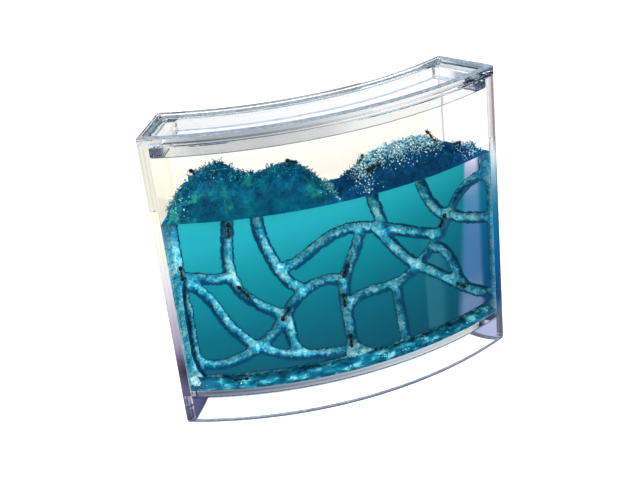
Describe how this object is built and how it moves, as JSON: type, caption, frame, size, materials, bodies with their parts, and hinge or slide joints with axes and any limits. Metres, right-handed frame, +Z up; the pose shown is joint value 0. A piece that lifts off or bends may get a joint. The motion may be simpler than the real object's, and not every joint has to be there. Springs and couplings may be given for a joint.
{
  "type": "ant habitat",
  "caption": "Tall clear bowed tank filled with blue gel for ants to tunnel in, with a flush lift-off lid and a raised floor.",
  "frame": {"origin": "centre of the bounding box at the base that the tank stands on", "axes": "+Z up, the convex front panel faces -Y, +X to the right seen from the front"},
  "size_m": [0.169, 0.0499, 0.1475],
  "materials": {
    "clear_tank": "polished clear acrylic",
    "clear_lid": "polished clear acrylic",
    "blue_gel": "clear soft gel",
    "gel_crumbs": "loose wet gel crumbs",
    "ant_shell": "dark satin"
  },
  "bodies": {
    "tank": {"front_panel": "clear_tank", "back_panel": "clear_tank", "left_end_wall": "clear_tank", "right_end_wall": "clear_tank", "floor_plate": "clear_tank", "gel_block": "blue_gel", "floor_crumbs": "gel_crumbs", "left_mound": "gel_crumbs", "right_mound": "gel_crumbs", "ant_01": "ant_shell", "ant_02": "ant_shell", "ant_03": "ant_shell", "ant_04": "ant_shell", "ant_05": "ant_shell", "ant_06": "ant_shell", "ant_07": "ant_shell", "ant_08": "ant_shell", "ant_09": "ant_shell", "ant_10": "ant_shell", "ant_11": "ant_shell", "ant_12": "ant_shell", "ant_13": "ant_shell", "ant_14": "ant_shell", "ant_15": "ant_shell", "ant_16": "ant_shell"},
    "lid": {"lid_cover": "clear_lid", "lid_plug": "clear_lid"}
  },
  "joints": [
    {"name": "lid_lift", "type": "slide", "parent": "tank", "child": "lid", "axis": [0, 0, 1], "range_m": [0, 0.04]}
  ]
}
